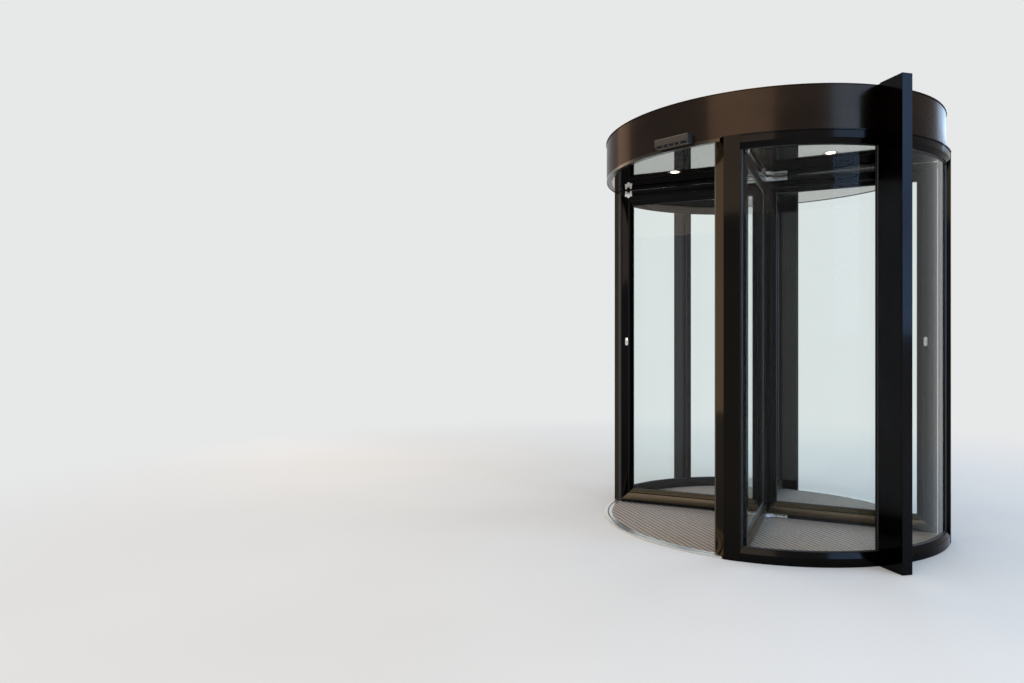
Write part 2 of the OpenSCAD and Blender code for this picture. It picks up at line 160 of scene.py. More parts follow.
def make_piece(name, shells, finish, body, smooth_deg=35, bevel=0.0):
    """One object from closed shells of points and faces, riding on a body."""
    points, faces = [], []
    for shell_points, shell_faces in shells:
        first = len(points)
        points.extend(shell_points)
        faces.extend([first + k for k in face] for face in shell_faces)
    mesh = bpy.data.meshes.new(name)
    mesh.from_pydata([tuple(point) for point in points], [], faces)
    work = bmesh.new()
    work.from_mesh(mesh)
    bmesh.ops.recalc_face_normals(work, faces=work.faces)
    if bevel:
        sharp = [e for e in work.edges if e.calc_face_angle(0) > math.radians(smooth_deg)]
        bmesh.ops.bevel(work, geom=sharp, offset=bevel, segments=2, profile=0.5,
                        affect="EDGES", clamp_overlap=True)
    work.to_mesh(mesh)
    work.free()
    mesh.shade_smooth()
    mesh.set_sharp_from_angle(angle=math.radians(smooth_deg))
    mesh.materials.append(finish)
    piece = bpy.data.objects.new(name, mesh)
    bpy.context.scene.collection.objects.link(piece)
    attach(piece, body)
    return piece


def on_circle(radius, degrees, height):
    """A point of the drum from its radius, direction and height."""
    turn = math.radians(degrees)
    return (radius * math.cos(turn), radius * math.sin(turn), height)


def arc(section, start, end, step=1.5):
    """A section of (radius, height) points swept round the drum's axis."""
    count = max(2, math.ceil((end - start) / step) + 1)
    turns = [start + (end - start) * i / (count - 1) for i in range(count)]
    return loft([[on_circle(r, turn, z) for r, z in section] for turn in turns])


def full_turn(section, step=1.5):
    """A section of (radius, height) points swept round the whole drum."""
    count = round(360 / step)
    return loft([[on_circle(r, 360 * i / count, z) for r, z in section]
                 for i in range(count)], closed=True)


fit_gap = 0.0003  # round every piece that is seated in another
mat_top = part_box("entrance_mat")[1].z
mat_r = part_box("entrance_mat")[1].x
mat_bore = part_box("floor_bearing")[1].x + fit_gap
groove_depth = 0.003
mat_base_top = mat_top - groove_depth

make_piece(
    "mat_base",
    [full_turn([(mat_bore, 0), (mat_r, 0), (mat_r, mat_base_top), (mat_bore, mat_base_top)])],
    black_rubber("mat_rubber", 0.02), "drum")


# Entrance mat, pile strips
# Needle-punched nylon in ribs that run with the facade, brown grey with lighter
# fibres. The ends are cut to the round of the drum.


def mat_pile():
    """Coarse nylon fibre: mottled brown grey, rough, with a little sheen."""
    material, tree, shader = start_finish("mat_pile", 0.0, 0.95)
    fleck = cloud(tree, 420, 4, (0.45, 1, 1))
    tinted(tree, shader, fleck, (0.116, 0.087, 0.061), (0.478, 0.378, 0.280), 0.34, 0.68)
    shader.inputs["Sheen Weight"].default_value = 0.35
    shader.inputs["Sheen Roughness"].default_value = 0.5
    shader.inputs["Specular IOR Level"].default_value = 0.2
    raised(tree, shader, cloud(tree, 700, 3, (0.5, 1, 1)), 0.0009, 0.8)
    return material


rib_pitch = 0.032
rib_w = 0.0232
rib_gap = rib_pitch - rib_w
end_margin = 0.0005
side_margin = 0.002
fibre_play = 0.0004
pile_step = 0.045
# Across a rib: the share of its width, and how far its crown is down there.
rib_crown = ((0.01, 0.0019), (0.07, 0.0007), (0.2, 0.0001), (0.5, 0.0), (0.8, 0.0001),
             (0.93, 0.0007), (0.99, 0.0019))
pile_random = random.Random(4)


def cut_to_round(y, radius):
    """Half the width of the mat at y."""
    return math.sqrt(max(0.0, radius * radius - y * y))


def pile_half(profile, side):
    """Half a rib, from the middle or the bearing out to the mat's edge."""
    inner = [cut_to_round(y, mat_bore) for y, z in profile]
    outer = [cut_to_round(y, mat_r - end_margin) for y, z in profile]
    count = max(2, math.ceil((max(outer) - min(inner)) / pile_step))
    rings = []
    for i in range(count + 1):
        t = i / count
        lift = -abs(pile_random.gauss(0, fibre_play))
        sway = pile_random.gauss(0, fibre_play)
        ring = []
        for k, (y, z) in enumerate(profile):
            top = z > mat_base_top
            ring.append((side * (inner[k] + (outer[k] - inner[k]) * t),
                         y + (sway if top else 0), z + (lift if top else 0)))
        rings.append(ring)
    return loft(rings)


pile_shells = []
rib_count = math.floor((mat_r - rib_gap) / rib_pitch)
for i in range(-rib_count - 1, rib_count + 1):
    y0 = max(i * rib_pitch + rib_gap / 2, -mat_r + side_margin)
    y1 = min((i + 1) * rib_pitch - rib_gap / 2, mat_r - side_margin)
    rib_profile = [(y0, mat_base_top)]
    for share, sink in rib_crown:
        rib_profile.append((y0 + (y1 - y0) * share, mat_top - sink))
    rib_profile.append((y1, mat_base_top))
    pile_shells.append(pile_half(rib_profile, 1))
    pile_shells.append(pile_half(rib_profile, -1))

mat_strips = make_piece("mat_strips", pile_shells, mat_pile(), "drum", 60)
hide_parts("entrance_mat")


# Mat trims
# The extruded strip that closes the mat in each entrance: two bright ribs of brushed
# metal with a dark resin inlay between them.


def brushed_metal(name, shade, roughness, grain, stretch=(1, 1, 1), metallic=1.0):
    """Bare metal with fine brushing marks."""
    material, tree, shader = start_finish(name, metallic, roughness)
    marks = cloud(tree, grain, 5, stretch)
    tinted(tree, shader, marks, tuple(0.82 * c for c in shade), shade)
    uneven_gloss(tree, shader, marks, roughness * 0.8, roughness * 1.35)
    raised(tree, shader, marks, 0.00012, 0.35)
    return material


def dress(finish, *names):
    """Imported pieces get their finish."""
    for name in names:
        node_of[name].data.materials.clear()
        node_of[name].data.materials.append(finish)


dress(brushed_metal("trim_metal", (0.78, 0.77, 0.75), 0.3, 220), "mat_trim")

mat_trim_w = 0.050
inlay_play = 0.0004
inlay_in = mat_r + fit_gap + mat_trim_w * 0.40 + inlay_play
inlay_out = mat_r + fit_gap + mat_trim_w * 0.60 - inlay_play
inlay_foot, inlay_top = mat_top - 0.0030, mat_top - 0.0016
inlay_half = 42.3  # degrees to each side of an entrance's middle
inlay_section = [(inlay_in, inlay_foot), (inlay_out, inlay_foot),
                 (inlay_out, inlay_top), (inlay_in, inlay_top)]
make_piece("mat_trim_inlays",
           [arc(inlay_section, middle - inlay_half, middle + inlay_half)
            for middle in (270, 90)],
           black_rubber("trim_resin", 0.10), "drum")


# Floor bearing
# A turned steel plate let into the mat, with the pivot's bore in its middle. Four low
# socket screws hold it down between the carrier's arms.


def circle(radius, z, sides):
    """Points of a circle round Z."""
    return [(radius * math.cos(math.tau * k / sides), radius * math.sin(math.tau * k / sides), z)
            for k in range(sides)]


def lathe(profile, sides=32):
    """A solid of revolution about Z from (radius, height) points, end to end."""
    return loft([circle(r, z, sides) for r, z in profile])


def placed(shell, matrix):
    """A shell moved to its place."""
    points, faces = shell
    return [tuple(matrix @ Vector(point)) for point in points], faces


def turned(degrees):
    """A turn about the shaft's axis."""
    return Matrix.Rotation(math.radians(degrees), 4, "Z")


def socket_screw(radius, head, sides=24):
    """A round screw head with a hexagonal socket sunk in it."""
    rings = [circle(r, z, sides)
             for r, z in ((radius, 0), (radius, head * 0.7), (radius * 0.9, head))]
    for share, z in ((0.5, head), (0.48, head * 0.25)):
        ring = []
        for k in range(sides):
            turn = math.tau * k / sides
            flat = math.cos(math.pi / 6) / math.cos(turn % (math.pi / 3) - math.pi / 6)
            ring.append((radius * share * flat * math.cos(turn),
                         radius * share * flat * math.sin(turn), z))
        rings.append(ring)
    return loft(rings)


dress(brushed_metal("bearing_metal", (0.62, 0.61, 0.60), 0.28, 160), "floor_bearing")

screw_metal = brushed_metal("screw_metal", (0.70, 0.70, 0.71), 0.22, 300)
bearing_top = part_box("floor_bearing")[1].z
rest_angle = 4.5  # of the wings, past the diagonals
screw_circle = 0.050
make_piece("floor_bearing_screws",
           [placed(socket_screw(radius=0.0042, head=0.0012),
                   turned(rest_angle + 90 * i)
                   @ Matrix.Translation((screw_circle, 0, bearing_top)))
            for i in range(4)],
           screw_metal, "drum")


# Curved rails
# Rolled aluminium extrusions along the foot and the head of each curved wall, in a
# gloss dark bronze coat. A sloped bead on each side holds the glass.


def soft_edges(tree, shader, radius, *normals):
    """Edges shade as if they were rounded with that radius."""
    rounded = tree.nodes.new("ShaderNodeBevel")
    rounded.samples = 4
    rounded.inputs["Radius"].default_value = radius
    for normal in normals:
        tree.links.new(rounded.outputs["Normal"], shader.inputs[normal])


def bronze_coat(name, dark, light, gloss=(0.10, 0.20), coat=0.06, edge=0.0012,
                rim=(0.62, 0.61, 0.62)):
    """Dark bronze coating: deep brown black, glossy, with edges that catch light."""
    material, tree, shader = start_finish(name, 1.0, gloss[0])
    tinted(tree, shader, cloud(tree, 1.7, 4, (1, 1, 0.5)), dark, light)
    uneven_gloss(tree, shader, cloud(tree, 6, 5), *gloss)
    shader.inputs["Specular Tint"].default_value = (*rim, 1)
    shader.inputs["Coat Weight"].default_value = coat
    shader.inputs["Coat Roughness"].default_value = 0.05
    if edge:
        soft_edges(tree, shader, edge, "Normal", "Coat Normal")
    return material


rail_bronze = bronze_coat("rail_bronze", (0.0040, 0.0038, 0.0040), (0.0085, 0.0075, 0.0072))
dress(rail_bronze, "right_base_rail", "left_base_rail", "right_head_rail", "left_head_rail")


# Curved glass
# Bent laminated panes, 12 mm thick, that stand in the rails and in the grooves of
# the posts and mullions. Clear, with the green of the glass in its edges.


def clear_glass(name, tint, ior):
    """Clear architectural glass with a light tint."""
    material, tree, shader = start_finish(name, 0.0, 0.0)
    shader.inputs["Transmission Weight"].default_value = 1.0
    shader.inputs["IOR"].default_value = ior
    tinted(tree, shader, cloud(tree, 2.2, 3), tuple(0.985 * c for c in tint), tint)
    return material


def glaze(finish, *panes):
    """Packed panes get their glass and let the light of the lamps through."""
    dress(finish, *panes)
    for name in panes:
        node_of[name].visible_shadow = False
        node_of[name].visible_diffuse = False


glaze(clear_glass("curved_glass", (0.93, 0.975, 0.965), 1.15), "lobby_right_glass",
      "street_right_glass", "street_left_glass", "lobby_left_glass")


# Glazing gaskets of the walls
# Black rubber wedges pressed in on both sides of every pane, along the rails and up
# the posts and mullions. They stand a few millimetres out of the beads.

wall_r = 1.060
rail_depth = 0.060
glass_mid = wall_r - rail_depth / 2
glass_half = 0.006
base_rail_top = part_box("right_base_rail")[1].z
head_rail_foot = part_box("right_head_rail")[0].z
mullion_end = 0.95  # degrees from the facade, where a pane comes out of the mullion
post_start = 40.36  # and where it goes into the entrance post
gasket_w = 0.0042
gasket_h = 0.0038
gasket_lip = 0.0012
gasket_bite = 0.001
touch = 0.0001  # left between faces that would else lie in one plane

gasket_rubber = black_rubber("gasket_rubber", 0.008, 0.5)
wall_gaskets = []
for quarter in range(4):
    start, end = mullion_end, post_start
    if quarter % 2:
        start, end = 180 - end, 180 - start
    if quarter > 1:
        start, end = start + 180, end + 180
    for side in (-1, 1):
        near = glass_mid + side * (glass_half + touch)
        far = near + side * gasket_w
        for level, up in ((base_rail_top, 1), (head_rail_foot, -1)):
            strip = [(near, level - up * gasket_bite), (far, level - up * gasket_bite),
                     (far, level + up * gasket_lip), (near, level + up * gasket_h)]
            wall_gaskets.append(arc(strip, start, end))
        for edge, way in ((start, 1), (end, -1)):
            width = way * math.degrees(gasket_h / glass_mid)
            rings = []
            for z in (base_rail_top, head_rail_foot):
                rings.append([on_circle(near, edge, z), on_circle(far, edge, z),
                              on_circle(far, edge + width * 0.4, z),
                              on_circle(near, edge + width, z)])
            wall_gaskets.append(loft(rings))
make_piece("wall_gaskets", wall_gaskets, gasket_rubber, "drum")


# Entrance posts
# Broad hollow posts at the four corners of the entrances, bent to the round of the
# drum, with noses cut parallel to the facade. Gloss dark bronze, one piece in height.

post_bronze = bronze_coat("post_bronze", (0.0044, 0.0038, 0.0032), (0.0096, 0.0078, 0.0058),
                          (0.07, 0.14), 0.07, 0.0018, (0.60, 0.57, 0.53))
dress(post_bronze, "lobby_right_post", "street_right_post", "street_left_post",
      "lobby_left_post")


# Facade posts
# Rectangular posts that join the drum to the facade on both sides, with the mullion
# that the curved panes meet in. They run up beside the canopy.

facade_bronze = bronze_coat("facade_bronze", (0.0050, 0.0052, 0.0066),
                            (0.0102, 0.0100, 0.0114), (0.08, 0.16), 0.07, 0.0018)
dress(facade_bronze, "right_facade_post", "left_facade_post")


# Finger guards
# Soft rubber noses on the thin inner edges of the entrance posts, where a wing sweeps
# past. They would give way to a trapped hand.

dress(black_rubber("guard_rubber", 0.010, 0.55), "finger_guards")


# Ceiling
# A round panel with a mirror gloss dark finish over the whole drum. The wings, the
# shaft and the mat are seen again in it.


def mirror_gloss():
    """Dark polished sheet that mirrors what is below it."""
    material, tree, shader = start_finish("mirror_gloss", 1.0, 0.03)
    tinted(tree, shader, cloud(tree, 1.3, 3), (0.36, 0.335, 0.305), (0.43, 0.40, 0.365))
    uneven_gloss(tree, shader, cloud(tree, 4, 4), 0.02, 0.05)
    return material


dress(mirror_gloss(), "ceiling_panel")


# Entrance trims
# The soffit strip with a hanging lip over each entrance, in satin bronze that is
# lighter than the posts.


def satin_bronze(name, dark, light, gloss=(0.26, 0.38), edge=0.0008):
    """Brushed bronze under a thin satin lacquer."""
    material, tree, shader = start_finish(name, 1.0, gloss[0])
    tinted(tree, shader, cloud(tree, 30, 5, (1, 1, 14)), dark, light)
    uneven_gloss(tree, shader, cloud(tree, 24, 5, (1, 1, 10)), *gloss)
    soft_edges(tree, shader, edge, "Normal")
    return material


dress(satin_bronze("trim_bronze", (0.030, 0.025, 0.020), (0.046, 0.038, 0.030), (0.18, 0.26)),
      "entrance_trims")


# Downlights
# Four recessed spots in the ceiling: a flush turned bezel in dark nickel, a stepped
# cup behind it, and a domed frosted lens that glows warm white in the middle.

downlight_r = 0.042
downlight_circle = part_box("downlights")[1].x - downlight_r
ceiling_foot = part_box("ceiling_panel")[0].z
bezel_foot = ceiling_foot - 0.0005


def glowing_glass(name, tone, strength):
    """Frosted glass that glows: the lamp itself in the lenses, and painted light on the cups."""
    material, tree, shader = start_finish(name, 0.0, 0.4)
    tinted(tree, shader, cloud(tree, 60, 3), (0.85, 0.82, 0.76), (0.9, 0.88, 0.84), 0.35, 0.65)
    shader.inputs["Emission Color"].default_value = (*tone, 1)
    shader.inputs["Emission Strength"].default_value = strength
    return material


socket_r = 0.0357
bezel_section = [(0.0300, ceiling_foot + 0.0062), (0.0294, bezel_foot + 0.0008),
                 (0.0302, bezel_foot + 0.0002), (0.0314, bezel_foot),
                 (0.0400, bezel_foot), (0.0414, bezel_foot + 0.0001),
                 (downlight_r, bezel_foot + 0.0003), (downlight_r, ceiling_foot - touch),
                 (socket_r, ceiling_foot - touch), (socket_r, ceiling_foot + 0.0076),
                 (0.0300, ceiling_foot + 0.0076)]
cup_section = [(0.0299, ceiling_foot + 0.0070), (0.0299, ceiling_foot + 0.0012),
               (0.0290, ceiling_foot + 0.0006), (0.0262, ceiling_foot + 0.0018),
               (0.0258, ceiling_foot + 0.0018), (0.0236, ceiling_foot + 0.0030),
               (0.0225, ceiling_foot + 0.0032), (0.0225, ceiling_foot + 0.0070)]
lens_profile = [(0.0224, ceiling_foot + 0.0066), (0.0224, ceiling_foot + 0.0022),
                (0.0212, ceiling_foot + 0.0012), (0.0170, ceiling_foot + 0.0004),
                (0.0100, ceiling_foot - 0.0001), (0.0040, ceiling_foot - 0.0003)]
spot_step = 7.5
spots = [turned(90 * i) @ Matrix.Translation((downlight_circle, 0, 0)) for i in range(4)]
bezels = make_piece("downlight_bezels",
                    [placed(full_turn(bezel_section, spot_step), spot) for spot in spots],
                    brushed_metal("bezel_metal", (0.20, 0.18, 0.16), 0.2, 240),
                    "drum", 30)
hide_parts("downlights")
# The cups glow faintly warm: painted light for the lamp's light falling on them, though they are
# no lamp.
make_piece("downlight_cups",
           [placed(full_turn(cup_section, spot_step), spot) for spot in spots],
           glowing_glass("cup_painted_glow", (1.0, 0.60, 0.30), 1.1), "drum", 30)
make_piece("downlight_lenses", [placed(lathe(lens_profile, 48), spot) for spot in spots],
           glowing_glass("lens_glow", (1.0, 0.82, 0.60), 14.0), "drum", 60)


# Canopy
# Two half rings of rolled sheet with folded edges, and a roof sheet with a sunk seam.
# Polished dark bronze, very slightly wavy as thin sheet is.


def canopy_bronze():
    """Polished dark bronze sheet with faint waves."""
    material, tree, shader = start_finish("canopy_bronze", 1.0, 0.2)
    shade = cloud(tree, 1.1, 4, (1, 1, 2))
    tinted(tree, shader, shade, (0.0128, 0.0086, 0.0064), (0.0240, 0.0162, 0.0116))
    uneven_gloss(tree, shader, cloud(tree, 5, 5), 0.20, 0.30)
    shader.inputs["Specular Tint"].default_value = (0.60, 0.58, 0.58, 1)
    shader.inputs["Coat Weight"].default_value = 0.06
    shader.inputs["Coat Roughness"].default_value = 0.10
    raised(tree, shader, cloud(tree, 2.4, 1), 0.0016, 0.5)
    return material


dress(canopy_bronze(), "lobby_fascia", "street_fascia", "canopy_roof")


# Beam and top bearing
# Plain steel inside the canopy: a hollow beam from wall to wall that rests on the
# head rails, and the bearing housing that the shaft turns in.


def mill_steel():
    """Grey steel with mill scale and a thin oil film."""
    material, tree, shader = start_finish("mill_steel", 0.85, 0.5)
    scale_marks = cloud(tree, 14, 6)
    tinted(tree, shader, scale_marks, (0.20, 0.21, 0.22), (0.42, 0.43, 0.45), 0.3, 0.72)
    uneven_gloss(tree, shader, scale_marks, 0.38, 0.6)
    raised(tree, shader, cloud(tree, 120, 4), 0.0004, 0.4)
    return material


dress(mill_steel(), "canopy_beam", "top_bearing")


# Presence sensors
# One over each entrance, set off to the side and screwed to the fascia: a satin
# moulded body, dark end caps, and a dark window that slopes down to the people.

sensor_turns = (299, 119)
sensor_half = 0.108
sensor_depth = 0.048
sensor_slope = 0.016
fascia_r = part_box("lobby_fascia")[1].x
sensor_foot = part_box("presence_sensors")[0].z
sensor_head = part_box("presence_sensors")[1].z
sensor_mid = (sensor_foot + sensor_head) / 2
sensor_back = 0.0004
cap_w = 0.007


def sensor_section():
    """Outline of the body in (outwards, height) from the fascia's surface."""
    z0, z1, d = sensor_foot, sensor_head, sensor_depth
    return [(d - sensor_slope - 0.001, z0), (d - sensor_slope + 0.0015, z0 + 0.0006),
            (d - 0.0018, z0 + sensor_slope - 0.0022), (d - 0.0004, z0 + sensor_slope),
            (d, z0 + sensor_slope + 0.0028), (d, z1 - 0.0070), (d - 0.0012, z1 - 0.0034),
            (d - 0.0034, z1 - 0.0012), (d - 0.0070, z1)]


def sensor_slice(along, pull=0.0):
    """One ring of the body: the front is straight, the back follows the fascia."""
    back = math.sqrt((fascia_r + sensor_back) ** 2 - along ** 2) - fascia_r
    ring = [(fascia_r + out - pull, along, z + (pull if z < sensor_mid else -pull))
            for out, z in sensor_section()]
    ring.append((fascia_r + back, along, sensor_head - pull))
    ring.append((fascia_r + back, along, sensor_foot + pull))
    return ring


def sensor_places(shells):
    """The shells at both sensors."""
    return [placed(shell, turned(turn)) for turn in sensor_turns for shell in shells]


def sensor_plastic(name, dark, light, gloss, shine=0.5, metallic=0.0):
    """Moulded plastic with a fine spark-eroded grain."""
    material, tree, shader = start_finish(name, metallic, gloss)
    shader.inputs["Specular IOR Level"].default_value = shine
    tinted(tree, shader, cloud(tree, 8, 4), dark, light)
    raised(tree, shader, cloud(tree, 1400, 2), 0.00015, 0.5)
    return material


cap_seam = 0.0005
body_end = sensor_half - cap_w - cap_seam
body_steps = 16
body_slices = [sensor_slice(-body_end + 2 * body_end * i / body_steps)
               for i in range(body_steps + 1)]
sensor_bodies = make_piece("sensor_bodies", sensor_places([loft(body_slices)]),
                           sensor_plastic("sensor_body", (0.038, 0.028, 0.018),
                                          (0.052, 0.038, 0.024), 0.34, 0.35),
                           "drum", 28)
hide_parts("presence_sensors")

cap_steps = ((0.0, 0.0004), (0.0012, 0.0), (cap_w - 0.002, 0.0), (cap_w - 0.0006, 0.0008),
             (cap_w, 0.0022))
cap_shells = [loft([sensor_slice(side * (sensor_half - cap_w + along), pull)
                    for along, pull in cap_steps]) for side in (-1, 1)]
make_piece("sensor_caps", sensor_places(cap_shells),
           sensor_plastic("sensor_cap", (0.012, 0.011, 0.011), (0.022, 0.02, 0.02), 0.42),
           "drum", 28)

slope_from = Vector((fascia_r + sensor_depth - sensor_slope, 0, sensor_foot))
slope_way = Vector((1, 0, 1)) / math.sqrt(2)
slope_out = Vector((1, 0, -1)) / math.sqrt(2)
slope_len = sensor_slope * math.sqrt(2)
window_end = body_end - 0.004
window_rings = []
for along in (-window_end, window_end):
    ring = []
    for share, out in ((0.12, -0.0012), (0.12, 0.0003), (0.16, 0.0007), (0.84, 0.0007),
                       (0.88, 0.0003), (0.88, -0.0012)):
        at = slope_from + slope_way * slope_len * share + slope_out * out
        ring.append((at.x, along, at.z))
    window_rings.append(ring)
make_piece("sensor_windows", sensor_places([loft(window_rings)]),
           sensor_plastic("sensor_window", (0.004, 0.0035, 0.004), (0.008, 0.006, 0.006), 0.08,
                          0.15), "drum")

tilt = slope_out.to_track_quat("Z", "Y").to_matrix().to_4x4()
lens_at = slope_from + slope_way * slope_len * 0.5 + slope_out * 0.0006
lens_places = (-0.055, -0.018, 0.018, 0.055)
dome = [(0.0050, 0), (0.0048, 0.0006), (0.0036, 0.0013), (0.0016, 0.0017)]
lens_shells = [placed(lathe(dome, 20), Matrix.Translation((lens_at.x, along, lens_at.z)) @ tilt)
               for along in lens_places]
make_piece("sensor_lenses", sensor_places(lens_shells),
           sensor_plastic("sensor_lens", (0.10, 0.09, 0.09), (0.15, 0.13, 0.13), 0.06, 0.5, 0.8),
           "drum", 60)


# Shaft and carriers
# The dark shaft stands in the middle. A four-armed carrier of polished steel clamps
# the wings to it at the foot and at the head, each arm with a black cover strip.

shaft_bronze = bronze_coat("shaft_bronze", (0.0035, 0.0034, 0.0038), (0.0072, 0.0066, 0.0064))
dress(shaft_bronze, "centre_shaft")
carrier_steel = brushed_metal("carrier_steel", (0.92, 0.92, 0.92), 0.36, 90, (1, 1, 12), 0.55)
dress(carrier_steel, "bottom_carrier", "top_carrier")

wing_turns = tuple(diagonal + rest_angle for diagonal in (225, 315, 45, 135))
arm_end = 0.146
arm_half = 0.021
strip_start = 0.064
strip_end = arm_end - 0.003
strip_t = 0.0010
strip_bite = 0.0005
arm_screw_places = (0.082, 0.126)


def block(u0, u1, v0, v1, z0, z1):
    """A plain box in a wing's axes: u from the shaft, v across, z up."""
    return loft([[(u, v0, z0), (u, v1, z0), (u, v1, z1), (u, v0, z1)] for u in (u0, u1)])


def on_wings(shells, turns=wing_turns):
    """The shells turned to each wing."""
    return [placed(shell, turned(turn)) for turn in turns for shell in shells]


def facing(side):
    """Turns a lathed piece so that it stands out of a wing's face."""
    return Matrix.Rotation(math.radians(-90 * side), 4, "X")


strip_shells, arm_screws = [], []
for carrier in ("bottom_carrier", "top_carrier"):
    foot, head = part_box(carrier)[0].z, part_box(carrier)[1].z
    rise = head - foot
    for side in (-1, 1):
        face = side * arm_half
        v0, v1 = sorted((face - side * strip_bite, face + side * strip_t))
        strip_shells.append(block(strip_start, strip_end, v0, v1,
                                  foot + 0.62 * rise, foot + 0.86 * rise))
        for u in arm_screw_places:
            arm_screws.append(placed(socket_screw(radius=0.0036, head=0.0016),
                                     Matrix.Translation((u, face, foot + 0.32 * rise))
                                     @ facing(side)))
make_piece("carrier_strips", on_wings(strip_shells), gasket_rubber, "rotor")
make_piece("carrier_screws", on_wings(arm_screws), screw_metal, "rotor")


# Wing frames, stiles
# Extruded bars up both sides of each wing, mitred to the rails at the four corners.
# Gloss dark bronze. A hairline shows along each mitre.


def wing_corner(name, turn):
    """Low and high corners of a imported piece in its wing's axes."""
    back = Matrix.Rotation(math.radians(-turn), 3, "Z")
    points = [back @ vertex.co for vertex in node_of[name].data.vertices]
    return ([min(p[k] for p in points) for k in range(3)],
            [max(p[k] for p in points) for k in range(3)])


(wing_u0, wing_v0, wing_foot), (wing_u1, wing_v1, wing_head) = wing_corner(
    "wing_1_frame", wing_turns[0])
inner_stile = 0.048
outer_stile = 0.085
rail_h = 0.080
bead_w = 0.029
shadow = 0.003
hairline = 0.0003
bar_round = 0.0012
bead_u0 = wing_u0 + inner_stile - bead_w
bead_u1 = wing_u1 - outer_stile + bead_w
bead_z0 = wing_foot + rail_h - bead_w
bead_z1 = wing_head - rail_h + bead_w
sunk_v = wing_v1 - shadow

in_u0, in_u1 = bead_u0 - shadow, bead_u1 + shadow
in_z0, in_z1 = bead_z0 - shadow, bead_z1 + shadow


def frame_bar(outline):
    """A bar as thick as the wing, from its (u, z) outline."""
    return loft([[(u, v, z) for u, z in outline] for v in (wing_v0, wing_v1)])


wing_bronze = bronze_coat("wing_bronze", (0.0035, 0.0034, 0.0040), (0.0075, 0.0068, 0.0068),
                          (0.08, 0.16), 0.06, 0)
stile_shells = [
    frame_bar([(wing_u0, wing_foot), (in_u0, in_z0), (in_u0, in_z1), (wing_u0, wing_head)]),
    frame_bar([(wing_u1, wing_foot), (wing_u1, wing_head), (in_u1, in_z1), (in_u1, in_z0)])]
for i, turn in enumerate(wing_turns):
    stile = make_piece(f"wing_{i + 1}_stiles", on_wings(stile_shells, (turn,)),
                       wing_bronze, "rotor", bevel=bar_round)
    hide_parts(f"wing_{i + 1}_frame")


# Wing frames, rails
# The bars at the head and foot of each wing, mitred to the stiles. The foot rail
# takes the kicks and is finished in a lighter satin bronze.

foot_bar, head_bar = [
    frame_bar([(wing_u0 + hairline, edge_z), (wing_u1 - hairline, edge_z),
               (in_u1 - hairline, in_z), (in_u0 + hairline, in_z)])
    for edge_z, in_z in ((wing_foot, in_z0), (wing_head, in_z1))]
make_piece("wing_foot_rails", on_wings([foot_bar]),
           satin_bronze("foot_rail_bronze", (0.118, 0.090, 0.060), (0.150, 0.116, 0.080),
                        (0.28, 0.36)),
           "rotor", bevel=bar_round)
make_piece("wing_head_rails", on_wings([head_bar]), wing_bronze, "rotor",
           bevel=bar_round)


# Wing frames, sunk webs and beads
# Behind each bead the bars step back by 3 mm, which leaves a shadow groove round it.
# The beads have a narrow flat and a slope, and are mitred and snapped in on both
# faces. The foot bead shares the lighter finish of its rail.

web_shells = [block(u0, u1, -sunk_v, sunk_v, z0, z1) for u0, u1, z0, z1 in (
    (bead_u0 - shadow, bead_u0 - touch, bead_z0, bead_z1),
    (bead_u1 + touch, bead_u1 + shadow, bead_z0, bead_z1),
    (bead_u0, bead_u1, bead_z0 - shadow, bead_z0 - touch),
    (bead_u0, bead_u1, bead_z1 + touch, bead_z1 + shadow))]
# The webs are finished matt near-black: painted shade for the bottom of the shadow grooves round
# the beads.
make_piece("wing_webs", on_wings(web_shells), black_rubber("painted_groove_shade", 0.006, 0.6),
           "rotor")


opening_corners = ((bead_u0, bead_z0, 1, 1), (bead_u1, bead_z0, -1, 1),
                   (bead_u1, bead_z1, -1, -1), (bead_u0, bead_z1, 1, -1))


def at_corner(outline, corner):
    """An outline of (inset, v) points in the mitre plane of a corner."""
    u, z, du, dz = corner
    return [(u + du * inset, v, z + dz * inset) for inset, v in outline]


glass_v = 0.005
lip_v = 0.013
bead_profile = [(touch, glass_v + fit_gap), (touch, wing_v1 - 0.0012),
                (0.0005, wing_v1 - 0.0004), (0.0013, wing_v1 - touch),
                (0.0048, wing_v1 - touch), (0.0058, wing_v1 - 0.0006),
                (bead_w - 0.0014, lip_v + 0.0006), (bead_w - 0.0004, lip_v - 0.0002),
                (bead_w, lip_v - 0.0012), (bead_w, glass_v + fit_gap)]
foot_beads, dark_beads = [], []
for side in (-1, 1):
    bead_outline = [(inset, side * v) for inset, v in bead_profile]
    for k in range(4):
        bar = loft([at_corner(bead_outline, opening_corners[k]),
                    at_corner(bead_outline, opening_corners[(k + 1) % 4])])
        (dark_beads if k else foot_beads).append(bar)
bead_bronze = bronze_coat("bead_bronze", (0.0038, 0.0037, 0.0042), (0.0080, 0.0072, 0.0070),
                          (0.10, 0.18), 0.06, 0)
make_piece("wing_beads", on_wings(dark_beads), bead_bronze, "rotor", 30)
make_piece("wing_foot_beads", on_wings(foot_beads),
           satin_bronze("foot_bead_bronze", (0.040, 0.032, 0.021), (0.058, 0.047, 0.031),
                        (0.20, 0.28), 0.0004),
           "rotor", 30)


# Wing glass and its gaskets
# Toughened 10 mm panes set in the frames, with a thin black wedge gasket between the
# glass and the bead on each face.

glaze(clear_glass("wing_glass", (0.94, 0.98, 0.972), 1.27),
      *(f"wing_{i}_glass" for i in range(1, 5)))

wedge_profile = [(bead_w - 0.0002, glass_v + touch), (bead_w + 0.0030, glass_v + touch),
                 (bead_w + 0.0026, glass_v + 0.0012), (bead_w + 0.0008, glass_v + 0.0042),
                 (bead_w - 0.0002, glass_v + 0.0046)]
gasket_loops = []
for side in (-1, 1):
    wedge_outline = [(inset, side * v) for inset, v in wedge_profile]
    gasket_loops.append(loft([at_corner(wedge_outline, corner)
                              for corner in opening_corners], closed=True))
make_piece("wing_gaskets", on_wings(gasket_loops), gasket_rubber, "rotor", 30)


